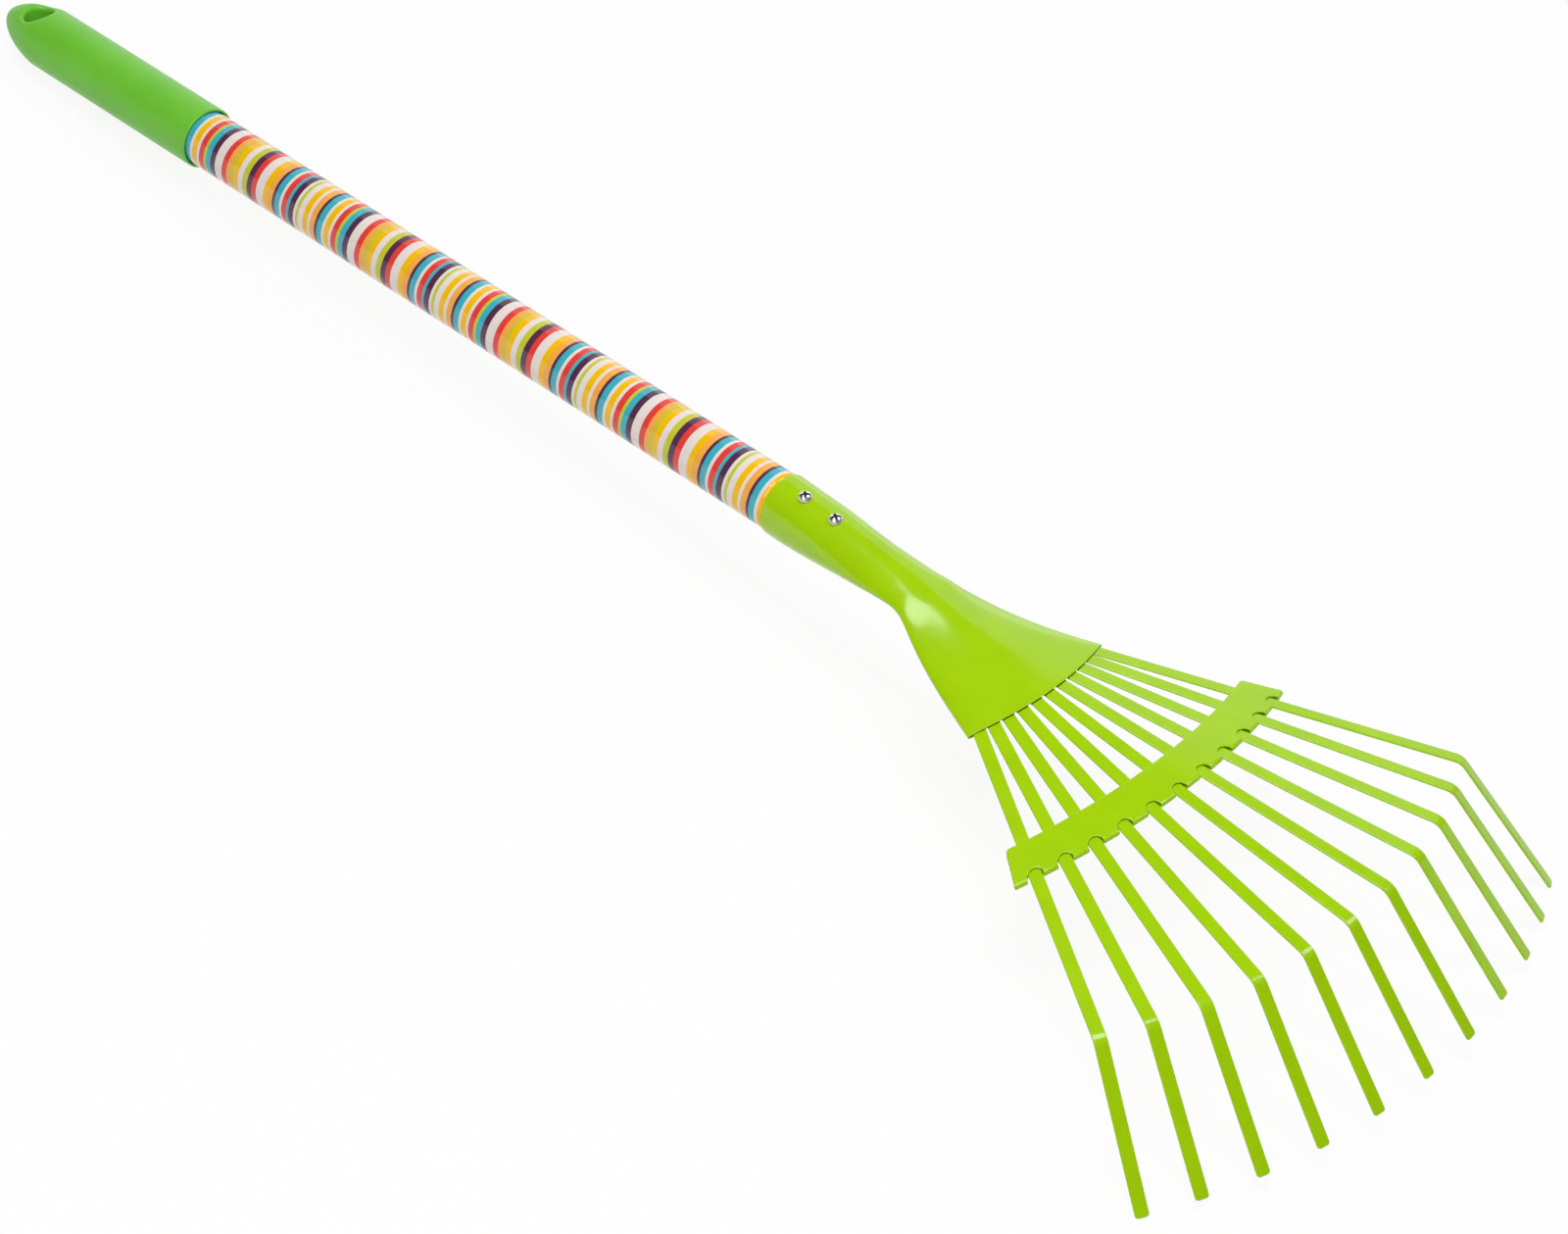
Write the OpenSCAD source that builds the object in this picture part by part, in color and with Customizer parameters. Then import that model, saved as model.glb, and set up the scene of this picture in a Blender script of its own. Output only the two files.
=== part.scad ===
// A child's leaf rake: a wooden handle in printed film, a moulded grip, a pressed steel head socket,
// eleven spring tines and a folded bar that spreads them.
// Millimetres. The rake lies on the ground with its tines down, and X runs along it towards the tines.

/* [Handle] */
// Diameter of the wooden rod
rod_d = 21.6; // [18:0.1:25]
// Thickness of the printed film round the rod
film_t = 0.2; // [0.1:0.05:0.4]
// Length of handle that shows between the grip and the head
handle_show = 307; // [200:1:700]
// Length of the rod's shaped end inside the head socket
tenon_len = 36; // [30:0.5:42]

/* [Grip] */
// Length of the grip
grip_len = 120; // [90:1:200]
// Wall of the grip round the handle
grip_wall = 1.3; // [1:0.1:3]
// Length of the grip's rounded end
grip_dome = 24.5; // [18:0.5:40]
// How blunt the rounded end is along the handle
dome_blunt = 1.41; // [1.2:0.01:2]
// Diameter of the hanging hole
hang_d = 11.6; // [8:0.1:16]
// Hanging hole's centre from the end of the grip
hang_set = 18.6; // [16:0.1:24]
// Solid plastic between the hanging hole and the rod
hang_web = 4; // [2:0.5:10]
// Radius of the lip at the grip's mouth
lip_r = 0.7; // [0.4:0.1:1]

/* [Fan] */
// Point where the tines' lines meet, ahead of the socket's rim
fan_apex_set = 68.7; // [62:0.1:76]
// The same point, below the handle's axis
fan_apex_drop = 2.2; // [0:0.1:4]
// Slope of each tine down from the fan's own base plane
fan_droop = 20; // [10:0.5:26]
// Slope of the fan's base plane up from the handle
fan_lift = 13.8; // [8:0.1:18]
// Angle between the middle tines
fan_step = 6.83; // [6.6:0.01:7.2]
// Share by which the tines close up towards the edges, per step squared
fan_gather = 0.0027; // [0:0.0001:0.003]

/* [Tines] */
// Width of a tine
tine_w = 4.8; // [3:0.1:5]
// Thickness of a tine
tine_t = 0.9; // [0.9:0.1:2.2]
// Distance from the fan's point to the bend
bend_at = 187.6; // [160:0.1:230]
// Bend of a tine
bend_angle = 42.4; // [20:0.1:70]
// Radius of the bend, to the middle of the strip
bend_r = 6.5; // [4:0.5:20]
// Length of the bent end
tip_len = 58; // [30:0.5:80]
// Corner radius of a tine's end
tip_corner = 1.2; // [0.4:0.1:1.4]
// How far a tine goes into the socket's mouth
tine_tail = 6; // [3:0.5:6.5]

/* [Spreader bar] */
// Distance from the fan's point to the bar's rear edge at the middle tine
bar_at_middle = 100.4; // [90:0.1:120]
// The same at the outer tines
bar_at_edge = 107.7; // [102:0.1:128]
// Depth of the bar, from its rear edge to its fold
bar_depth = 14.6; // [12:0.1:22]
// Thickness of the bar's sheet
bar_t = 0.6; // [0.6:0.1:1.6]
// How far the bar runs past the outer tines
bar_past = 6.8; // [5:0.1:10]
// Angle by which the bar's ends spread from the outer tines
bar_splay = 3; // [0:0.5:8]
// Width of the slot that a tine leaves through
slot_w = 5.8; // [5.6:0.1:8]
// Depth of that slot, from the fold
slot_depth = 3.6; // [3.4:0.1:7]

/* [Head socket] */
// Wall of the socket's sheet
socket_wall = 0.9; // [0.9:0.1:1.2]
// Step from the film up to the socket's rim
socket_step = 0.65; // [0.4:0.05:1]
// Distance from the rim to the neck, where the sides begin to flare
flare_from = 67; // [62:0.5:70]
// Distance from the fan's point to the mouth at the middle tine
mouth_at_middle = 56.4; // [55:0.1:60]
// The same at the outer tines
mouth_at_edge = 60.7; // [59:0.1:64]
// Sheet beside the outer tines at the mouth
mouth_side = 1.9; // [1.5:0.1:2.4]
// How far the lower lip stands back behind the upper one
mouth_under = 4; // [0:0.5:4.5]

/* [Screws] */
// Nominal diameter of the screws
screw_d = 2.9; // [2.2:0.1:3.5]
// Length of a screw under its head
screw_len = 12; // [8:0.5:16]
// First screw from the socket's rim
screw_set = 11.8; // [8:0.1:14]
// Distance between the two screws
screw_gap = 14.5; // [9:0.1:16]
// Turn of the screws round the socket, from straight up
screw_turn = 8.5; // [-30:0.5:30]
// Diameter of a screw's head
screw_head_d = 5.1; // [4.6:0.1:7]
// Height of a screw's head
screw_head_h = 2.2; // [1.4:0.1:2.6]
// Height of the head's straight edge
screw_edge_h = 0.7; // [0.4:0.1:1]
// Span of the cross recess
recess_span = 4; // [2:0.1:4.2]
// Width of the cross recess's arms
recess_w = 0.95; // [0.5:0.05:1]
// Depth of the cross recess
recess_depth = 1.2; // [0.5:0.1:1.2]

/* [Fits] */
// Play of the rod in the grip and the socket, on the radius
rod_play = 0.05; // [0.02:0.01:0.1]
// Gap between the socket's rim and the rod's shoulder and film
rim_gap = 0.1; // [0.05:0.05:0.3]
// Play of a screw in its holes, on the radius
screw_play = 0.05; // [0.02:0.01:0.1]
// Play of a tine in the socket's mouth, on each face
mouth_play = 0.1; // [0.05:0.01:0.15]
// Play of a tine in the bar, on each face
bar_play = 0.15; // [0.15:0.01:0.3]

/* [Hidden] */
$fn = 96;
over = 1;
tine_count = 11;
middle = (tine_count - 1) / 2;
function tine_name(i) = str("tine_", i < 10 ? "0" : "", i);

// Paint and plastics
grip_green = [0.40, 0.72, 0.19];
lime = [0.64, 0.82, 0.10];
film_white = [0.89, 0.86, 0.85];
wood = [0.80, 0.66, 0.46];
bright_steel = [0.80, 0.81, 0.82];

// Stations along the handle, from the end of the grip
film_r = rod_d / 2 + film_t;
grip_r = film_r + grip_wall;
rod_from = hang_set + hang_d / 2 + hang_web;
rim_x = grip_len + handle_show;
rod_to = rim_x - rim_gap;
socket_r = film_r + socket_step;
apex = [rim_x + fan_apex_set, 0, -fan_apex_drop];

// A point turned nose up about Y
function nose_up(p, a) = [p.x * cos(a) - p.z * sin(a), p.y, p.x * sin(a) + p.z * cos(a)];
// Angle of a tine round the fan's axis, counted from the middle one
function fan_angle(k) = k * fan_step * (1 - fan_gather * k * k);
// A point beside a tine's line: along it from the fan's point, across it, and square to its face
function fan_dir(s, v, h, a) =
    let (r = s * cos(fan_droop) + h * sin(fan_droop), z = h * cos(fan_droop) - s * sin(fan_droop))
    nose_up([r * cos(a) - v * sin(a), r * sin(a) + v * cos(a), z], fan_lift);
function fan_point(s, v, h, a) = apex + fan_dir(s, v, h, a);
edge_angle = fan_angle(middle);
// How a distance from the fan's point grows from the middle tine to the outer ones
function spread(at_middle, at_edge, a) = at_middle + (at_edge - at_middle) * pow(a / edge_angle, 2);

// The grip's half outline: a rounded end, then a straight barrel
dome_steps = 18;
dome_power = 1.89;
function dome_r(x) = grip_r * pow(1 - pow(1 - x / grip_dome, dome_blunt), 1 / dome_power);
dome = [for (i = [0 : dome_steps]) let (x = grip_dome * pow(i / dome_steps, 2)) [x, dome_r(x)]];

// The rake rests on the outer tines' tips and on the grip's end
tip_end = [bend_at + tip_len * cos(bend_angle), -tip_len * sin(bend_angle)];
tip_square = tine_t / 2 * [sin(bend_angle), cos(bend_angle)];
tip_under = tip_end - tip_square;
tip_over = tip_end + tip_square;
tip_low = fan_point(tip_under.x, tine_w / 2 - tip_corner, tip_under.y, edge_angle);
rest_slope = max([for (p = dome) (tip_low.z + p.y) / (tip_low.x - p.x)]);
rest_tilt = atan(-rest_slope);
rest_low = nose_up(tip_low, rest_tilt).z;
rear_end = min([for (p = dome) nose_up([p.x, 0, p.y], rest_tilt).x]);
front_end = nose_up(fan_point(tip_over.x, 0, tip_over.y, 0), rest_tilt).x;
rest_at = [-(rear_end + front_end) / 2, 0, -rest_low];

// From the handle's own frame to the ground
module at_rest() {
    translate(rest_at) rotate([0, -rest_tilt, 0]) children();
}

// A frame on a tine's line: X along it from the fan's point, Z square to its face
module on_tine(a) {
    translate(apex) rotate([0, -fan_lift, 0]) rotate([0, 0, a]) rotate([0, fan_droop, 0]) children();
}

// A solid round the handle's axis from an outline of [along, out] points
module round_handle(outline) {
    rotate([0, 90, 0]) rotate_extrude() polygon([for (p = outline) [p.y, p.x]]);
}

// A straight pipe round the handle's axis
module pipe(from, to, r_out, r_in) {
    round_handle([[from, r_in], [to, r_in], [to, r_out], [from, r_out]]);
}

// Moulded grip, pushed over the end of the handle
lip_steps = 6;
module grip() {
    lip = [for (i = [0 : lip_steps]) let (a = 90 * i / lip_steps)
        [grip_len - lip_r * (1 - sin(a)), grip_r - lip_r * (1 - cos(a))]];
    bore_r = film_r + rod_play;
    color(grip_green) at_rest() difference() {
        round_handle(concat(dome, lip, [[grip_len, 0]]));
        pipe(rod_from, grip_len + over, bore_r, 0);
        translate([hang_set, 0, -grip_r - over]) cylinder(d = hang_d, h = 2 * (grip_r + over));
    }
}

// The socket's form, by the distance from its rim
mouth_h = tine_t / 2 + mouth_play + socket_wall;
mouth_mid = fan_point(mouth_at_middle, 0, 0, 0);
mouth_edge = fan_point(mouth_at_edge, tine_w / 2 + mouth_side, 0, edge_angle);
socket_len = mouth_mid.x - rim_x;
plate_slope = tan(fan_lift - fan_droop);
// The mouth runs along the tines over this length
plate_run = 10.7;
plate_from = socket_len - plate_run;
// Slopes of the top and the bottom at the rim, and how far they swell up on the way
top_slope = -0.08;
top_swell = 1.5;
floor_slope = -0.074;
floor_swell = 3;
// Length over which the flare begins at the sides and in the height of the edges, and how straight it runs
flare_ease = 6.5;
edge_ease = 3;
flare_power = 0.86;
// Where the round section gives way on top, at the bottom and at the edges, and over what length
bell_from = 19;
bell_at = 49;
bell_peak = 0.8;
floor_from = 45;
floor_run = 30;
edge_from = 41;
edge_run = 35;
edge_power = 0.51;
edge_round = 4;
// Where the flanks on top begin to flatten, are flattest and have gone over into the plate
flank_from = 58;
flank_at = 77;
flank_to = 112;
// How straight the flanks get, and how soft the ridge between them stays
flank_power = 1.25;
ridge_soft = 0.02;
function mix(a, b, t) = a + (b - a) * t;
function ease(t) = let (c = min(max(t, 0), 1)) c * c * (3 - 2 * c);
function swell(t) = 16 * t * t * (1 - t) * (1 - t);
// A smooth rise from a to b over a length, with both end slopes given
function rise(t, a, b, slope_a, slope_b, length) = mix(a, b, t * t * (3 - 2 * t))
    + length * (slope_a * t * (1 - t) * (1 - t) - slope_b * t * t * (1 - t));
function plate_z(x) = mouth_mid.z + plate_slope * (x - socket_len);
function section_z(x, side, slope, bulge) = x > plate_from ? plate_z(x) + side * mouth_h
    : rise(x / plate_from, side * socket_r, plate_z(plate_from) + side * mouth_h, slope, plate_slope, plate_from)
        + bulge * swell(x / plate_from);
function top_z(x) = section_z(x, 1, top_slope, top_swell);
function floor_z(x) = section_z(x, -1, floor_slope, floor_swell);
// Share of the flare at a distance from the rim, where it begins over a length before and after the neck
function flare(x, begin) = let (d = x - flare_from)
    (d < -begin ? 0 : d > begin ? d : pow(d + begin, 2) / (4 * begin)) / (socket_len - flare_from);
function half_width(x) = socket_r + (mouth_edge.y - socket_r) * pow(flare(x, flare_ease), flare_power);
function edge_z(x) = mix((top_z(x) + floor_z(x)) / 2, mouth_edge.z, ease(pow(flare(x, edge_ease), edge_power)));
function edge_h(x) = mouth_h * ease((x - edge_from) / edge_run);
function bell(x) = x < bell_at ? mix(0.5, bell_peak, ease((x - bell_from) / (bell_at - bell_from)))
    : mix(bell_peak, 1, ease((x - bell_at) / (socket_len - bell_at)));
function flank(x) = ease((x - flank_from) / (flank_at - flank_from))
    * (1 - ease((x - flank_at) / (flank_to - flank_at)));
function ridge(t) = pow(t + ridge_soft, flank_power / 2);
// A point of the socket's skin at an angle round it, pulled in by an inset
function skin_point(x, a, inset) =
    let (y = (half_width(x) - inset) * cos(a), side = sin(a) < 0 ? -1 : 1, across = pow(sin(a), 2))
    let (h = max(edge_h(x) - inset, 0), z = edge_z(x))
    let (rim = h * pow(1 - pow(abs(cos(a)), edge_round), 1 / edge_round))
    let (power = side > 0 ? bell(x) : mix(0.5, 1, ease((x - floor_from) / floor_run)))
    let (far = side > 0 ? top_z(x) - inset - z - h : z - h - floor_z(x) - inset)
    let (bow = (mouth_mid.x - mouth_edge.x) * pow(x / socket_len * y / mouth_edge.y, 2))
    let (under = side < 0 ? mouth_under * ease((x - plate_from) / plate_run) * across : 0)
    let (tent = (ridge(1) - ridge(1 - across)) / (ridge(1) - ridge(0)))
    let (arch = mix(pow(across, power), tent, side > 0 ? flank(x) : 0))
    [rim_x + x - bow - under, y, z + side * (rim + far * arch)];

// A closed skin of rings between two distances from the rim
ring_points = 48;
module skin(from, to, rings, inset) {
    points = [for (i = [0 : rings]) for (j = [0 : ring_points - 1])
        skin_point(mix(from, to, i / rings), 360 * j / ring_points, inset)];
    function at(i, j) = i * ring_points + j % ring_points;
    side = [for (i = [0 : rings - 1]) for (j = [0 : ring_points - 1]) for (half = [0, 1])
        half == 0 ? [at(i, j), at(i + 1, j), at(i + 1, j + 1)] : [at(i, j), at(i + 1, j + 1), at(i, j + 1)]];
    function lid(i) = [for (j = [0 : ring_points / 2 - 1]) for (half = [0, 1])
        half == 0 ? [at(i, j), at(i, j + 1), at(i, ring_points - j - 1)]
            : [at(i, j), at(i, ring_points - j - 1), at(i, ring_points - j)]];
    whole = function (f) f[0] != f[1] && f[1] != f[2] && f[0] != f[2];
    flip = function (f) [f[2], f[1], f[0]];
    polyhedron(points, [for (f = side) f, for (f = lid(0)) if (whole(f)) f,
        for (f = lid(rings)) if (whole(f)) flip(f)]);
}

// Both screw places, zero on the socket's skin and Z square to it
module at_screws() {
    // A small step along the skin and round it, to find which way it faces
    near = 0.5;
    turn = 90 + screw_turn;
    for (i = [0, 1]) {
        x = screw_set + i * screw_gap;
        along = skin_point(x + near, turn, 0) - skin_point(x - near, turn, 0);
        round = skin_point(x, turn + near, 0) - skin_point(x, turn - near, 0);
        out = cross(round, along) / norm(cross(round, along));
        translate(skin_point(x, turn, 0)) rotate([0, acos(out.z), atan2(out.y, out.x)]) children();
    }
}

module screw_holes() {
    at_screws() translate([0, 0, -screw_len - over])
        cylinder(r = screw_d / 2 + screw_play, h = screw_len + 2 * over);
}

// The wooden rod, with a shoulder and a shaped end for the socket
tenon_rings = 12;
module handle_rod() {
    color(wood) at_rest() difference() {
        union() {
            pipe(rod_from, rod_to, rod_d / 2, 0);
            skin(-over, tenon_len, tenon_rings, socket_wall + rod_play);
        }
        screw_holes();
    }
}

module printed_sleeve() {
    color(film_white) at_rest() pipe(rod_from, rod_to, film_r, rod_d / 2);
}

// Room for the strips between the socket's two layers
module tine_room() {
    room_t = tine_t + 2 * mouth_play;
    room_w = tine_w + 2 * mouth_play;
    for (i = [1 : tine_count]) {
        a = fan_angle(i - 1 - middle);
        from = spread(mouth_at_middle, mouth_at_edge, a) - tine_tail - mouth_play;
        on_tine(a) translate([from, -room_w / 2, -room_t / 2]) cube([bar_at_middle - from, room_w, room_t]);
    }
}

skin_rings = 30;
module head_socket() {
    color(lime) at_rest() difference() {
        skin(0, socket_len, skin_rings, 0);
        skin(-over, socket_len + over, skin_rings, socket_wall);
        tine_room();
        screw_holes();
    }
}

// Two pan-head tapping screws with cross recesses
cap_h = screw_head_h - screw_edge_h;
cap_r = (pow(screw_head_d / 2, 2) + pow(cap_h, 2)) / (2 * cap_h);
cap_angle = asin(screw_head_d / 2 / cap_r);
cap_steps = 8;
recess_turn = 20;
screw_point = 0.3;
module socket_screws() {
    cap = [for (i = [cap_steps : -1 : 0]) let (a = cap_angle * i / cap_steps)
        [cap_r * sin(a), screw_head_h - cap_r * (1 - cos(a))]];
    shank = [[0, -screw_len], [screw_point / 2, -screw_len], [screw_d / 2, -screw_len + screw_d],
        [screw_d / 2, 0], [screw_head_d / 2, 0]];
    color(bright_steel) at_rest() at_screws() difference() {
        rotate_extrude() polygon(concat(shank, cap));
        rotate([0, 0, recess_turn]) translate([0, 0, screw_head_h - recess_depth])
            linear_extrude(recess_depth + over) for (a = [0, 90])
                rotate(a) square([recess_span, recess_w], center = true);
    }
}

// One tine of flat strip, with its tail in the socket and its end bent down
bend_steps = 12;
corner_steps = 6;
module tine(i) {
    a = fan_angle(i - 1 - middle);
    from = spread(mouth_at_middle, mouth_at_edge, a) - tine_tail;
    set_back = bend_r * tan(bend_angle / 2);
    leg = tip_len - set_back;
    half_w = tine_w / 2;
    // The strip from the side, on one face of it: along the line, round the bend and down the leg
    side = function (h) [[from, h],
        for (i = [0 : bend_steps]) let (turn = bend_angle * i / bend_steps)
            [bend_at - set_back + (bend_r + h) * sin(turn), (bend_r + h) * cos(turn) - bend_r],
        tip_end + h * [sin(bend_angle), cos(bend_angle)]];
    back = function (points) [for (i = [len(points) - 1 : -1 : 0]) points[i]];
    // The strip seen square to the leg, from the bend's centre, with its end's corners rounded
    corner = function (way) [for (i = [0 : corner_steps]) let (turn = 90 * i / corner_steps)
        [leg - tip_corner * (1 - sin(turn)), way * (half_w - tip_corner * (1 - cos(turn)))]];
    face = concat([[-bend_at, half_w]], corner(1), back(corner(-1)), [[-bend_at, -half_w]]);
    color(lime) at_rest() on_tine(a) intersection() {
        rotate([90, 0, 0]) linear_extrude(tine_w + 2 * over, center = true)
            polygon(concat(side(tine_t / 2), back(side(-tine_t / 2))));
        translate([bend_at - set_back, 0, -bend_r]) rotate([0, bend_angle, 0])
            linear_extrude(2 * bend_at, center = true) polygon(face);
    }
}

// The bar's arc runs through its middle at the middle tine and at both outer ones
bar_gap = tine_t / 2 + bar_play;
bar_nose = bar_gap + bar_t;
bar_middle = fan_point(bar_at_middle + bar_depth / 2, 0, 0, 0);
bar_edge = fan_point(bar_at_edge + bar_depth / 2, 0, 0, edge_angle);
bar_sag = norm([bar_middle.x - bar_edge.x, bar_middle.z - bar_edge.z]);
bar_r = (pow(bar_edge.y, 2) + pow(bar_sag, 2)) / (2 * bar_sag);
bar_lift = atan2(bar_middle.z - bar_edge.z, bar_middle.x - bar_edge.x);
bar_turn = asin(bar_edge.y / bar_r);
// The leaves lie along the middle tine, eased by half of what they miss the outer ones by
level_tilt = fan_lift - fan_droop - bar_lift;
edge_up = nose_up([-sin(level_tilt) * cos(bar_turn), -sin(level_tilt) * sin(bar_turn), cos(level_tilt)], bar_lift);
leaf_tilt = level_tilt + asin(edge_up * fan_dir(1, 0, 0, edge_angle)) / 2;
// The arc runs on past the outer tines by this angle, to be cut to length there
bar_spare = 8;
bar_sweep = bar_turn + bar_spare;

// A band of the bar's arc with a round front, by half its thickness and how far it runs on at the rear
module bar_band(half, rear) {
    translate(bar_middle) rotate([0, -bar_lift, 0]) translate([-bar_r, 0, 0]) rotate([0, 0, -bar_sweep])
        rotate_extrude(angle = 2 * bar_sweep) translate([bar_r, 0]) rotate(leaf_tilt) {
            translate([-bar_depth / 2 - rear, -half]) square([bar_depth + rear - bar_nose, 2 * half]);
            translate([bar_depth / 2 - bar_nose, 0]) circle(half);
        }
}

module spreader_bar() {
    // Cutting blocks and slots reach well past the bar on all sides
    reach = 4 * bar_depth;
    color(lime) at_rest() difference() {
        bar_band(bar_nose, 0);
        bar_band(bar_gap, over);
        for (i = [1 : tine_count]) {
            a = fan_angle(i - 1 - middle);
            slot_end = spread(bar_at_middle, bar_at_edge, a) + bar_depth - slot_depth;
            on_tine(a) linear_extrude(reach, center = true) {
                translate([slot_end + slot_w / 2, 0]) circle(d = slot_w);
                translate([slot_end + slot_w / 2, -slot_w / 2]) square([bar_depth, slot_w]);
            }
        }
        for (side = [-1, 1])
            on_tine(side * edge_angle) translate([bar_at_edge, side * bar_past, 0]) rotate([0, 0, side * bar_splay])
                translate([-bar_depth, side > 0 ? 0 : -reach, -reach / 2]) cube([reach, reach, reach]);
    }
}

grip();
handle_rod();
printed_sleeve();
head_socket();
socket_screws();
spreader_bar();
for (i = [1 : tine_count])
    tine(i);
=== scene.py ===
import math
import bmesh
import bpy
from mathutils import Matrix, Vector
from mathutils.geometry import delaunay_2d_cdt


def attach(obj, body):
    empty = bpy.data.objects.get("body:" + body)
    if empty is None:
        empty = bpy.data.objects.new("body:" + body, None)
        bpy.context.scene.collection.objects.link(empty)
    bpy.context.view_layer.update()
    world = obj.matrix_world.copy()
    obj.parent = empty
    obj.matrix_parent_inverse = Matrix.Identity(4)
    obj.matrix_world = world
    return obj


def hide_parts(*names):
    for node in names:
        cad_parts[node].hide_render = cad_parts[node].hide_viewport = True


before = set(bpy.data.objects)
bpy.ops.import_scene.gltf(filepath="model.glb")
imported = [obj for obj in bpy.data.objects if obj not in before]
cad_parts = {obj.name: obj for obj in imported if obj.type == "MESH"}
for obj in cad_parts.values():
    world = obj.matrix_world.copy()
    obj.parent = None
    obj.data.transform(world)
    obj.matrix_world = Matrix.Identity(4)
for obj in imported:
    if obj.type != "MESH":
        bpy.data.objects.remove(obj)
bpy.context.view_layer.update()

# Sizes of the rake in millimetres and degrees, as in the part's source

# Handle and grip
ROD_D = 21.6
FILM_T = 0.2
HANDLE_SHOW = 307
GRIP_LEN = 120
GRIP_WALL = 1.3
GRIP_DOME = 24.5
DOME_BLUNT = 1.41
DOME_POWER = 1.89
HANG_D = 11.6
HANG_SET = 18.6
HANG_WEB = 4
LIP_R = 0.7

# Fan and tines
FAN_APEX_SET = 68.7
FAN_APEX_DROP = 2.2
FAN_DROOP = 20
FAN_LIFT = 13.8
FAN_STEP = 6.83
FAN_GATHER = 0.0027
TINE_COUNT = 11
TINE_W = 4.8
TINE_T = 0.9
BEND_AT = 187.6
BEND_ANGLE = 42.4
BEND_R = 6.5
TIP_LEN = 58
TIP_CORNER = 1.2
TINE_TAIL = 6

# Spreader bar
BAR_AT_MIDDLE = 100.4
BAR_AT_EDGE = 107.7
BAR_DEPTH = 14.6
BAR_T = 0.6
BAR_PAST = 6.8
BAR_SPLAY = 3
BAR_PLAY = 0.15
SLOT_W = 5.8
SLOT_DEPTH = 3.6

# Head socket
SOCKET_WALL = 0.9
SOCKET_STEP = 0.65
FLARE_FROM = 67
MOUTH_AT_MIDDLE = 56.4
MOUTH_AT_EDGE = 60.7
MOUTH_SIDE = 1.9
MOUTH_UNDER = 4
MOUTH_PLAY = 0.1
PLATE_RUN = 10.7

# Screws
SCREW_D = 2.9
SCREW_LEN = 12
SCREW_SET = 11.8
SCREW_GAP = 14.5
SCREW_TURN = 8.5
SCREW_HEAD_D = 5.1
SCREW_HEAD_H = 2.2
SCREW_EDGE_H = 0.7
RECESS_SPAN = 4
RECESS_W = 0.95
RECESS_DEPTH = 1.2
RECESS_TURN = 20

# Play round the handle in the grip, and between its film and the socket's rim
ROD_PLAY = 0.05
RIM_GAP = 0.1

# The socket's form along its length, as in the part's source
TOP_SLOPE = -0.08
TOP_SWELL = 1.5
FLOOR_SLOPE = -0.074
FLOOR_SWELL = 3
FLARE_EASE = 6.5
EDGE_EASE = 3
FLARE_POWER = 0.86
BELL_FROM = 19
BELL_AT = 49
BELL_PEAK = 0.8
FLOOR_FROM = 45
FLOOR_RUN = 30
EDGE_FROM = 41
EDGE_RUN = 35
EDGE_POWER = 0.51
EDGE_ROUND = 4
FLANK_FROM = 58
FLANK_AT = 77
FLANK_TO = 112
FLANK_POWER = 1.25
RIDGE_SOFT = 0.02

# Radii round the handle's axis, and stations along it from the end of the grip
FILM_R = ROD_D / 2 + FILM_T
GRIP_R = FILM_R + GRIP_WALL
SOCKET_R = FILM_R + SOCKET_STEP
ROD_FROM = HANG_SET + HANG_D / 2 + HANG_WEB
RIM_X = GRIP_LEN + HANDLE_SHOW
ROD_TO = RIM_X - RIM_GAP

# Count of tines on each side of the middle one, a millimetre in metres, and plain white
MIDDLE = (TINE_COUNT - 1) // 2
MM = 0.001
WHITE = (1, 1, 1, 1)


# Small sums

def turned(degrees):
    """Sine and cosine of an angle in degrees."""
    return math.sin(math.radians(degrees)), math.cos(math.radians(degrees))


def mix(a, b, t):
    """The value at a share of the way from a to b."""
    return a + (b - a) * t


def clamp(t):
    """A share kept between 0 and 1."""
    return min(max(t, 0), 1)


def ease(t):
    """A share that starts and ends softly."""
    c = clamp(t)
    return c * c * (3 - 2 * c)


def swell(t):
    """A soft bulge that is 1 half way and 0 at both ends."""
    return 16 * (t * (1 - t)) ** 2


def steps(a, b, count):
    """Evenly spaced values from a to b, both included."""
    return [mix(a, b, i / count) for i in range(count + 1)]


# The fan of tines

def nose_up(p, degrees):
    """A point turned nose up about Y."""
    s, c = turned(degrees)
    return Vector((p[0] * c - p[2] * s, p[1], p[0] * s + p[2] * c))


APEX = Vector((RIM_X + FAN_APEX_SET, 0, -FAN_APEX_DROP))


def fan_angle(k):
    """Angle of a tine round the fan's axis, counted from the middle one."""
    return k * FAN_STEP * (1 - FAN_GATHER * k * k)


def fan_dir(s, v, h, angle):
    """Along a tine's line, across it and square to its face."""
    droop_s, droop_c = turned(FAN_DROOP)
    turn_s, turn_c = turned(angle)
    r = s * droop_c + h * droop_s
    z = h * droop_c - s * droop_s
    return nose_up((r * turn_c - v * turn_s, r * turn_s + v * turn_c, z), FAN_LIFT)


def fan_point(s, v, h, angle):
    """A point beside a tine's line, counted along it from the fan's point."""
    return APEX + fan_dir(s, v, h, angle)


EDGE_ANGLE = fan_angle(MIDDLE)


def spread(at_middle, at_edge, angle):
    """How a distance from the fan's point grows from the middle tine to the outer ones."""
    return at_middle + (at_edge - at_middle) * (angle / EDGE_ANGLE) ** 2


# The rake rests on the outer tines' tips and on the grip's end

def dome_r(x):
    """Radius of the grip at a distance from its end."""
    if x >= GRIP_DOME:
        return GRIP_R
    return GRIP_R * (1 - (1 - max(x, 0) / GRIP_DOME) ** DOME_BLUNT) ** (1 / DOME_POWER)


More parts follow.
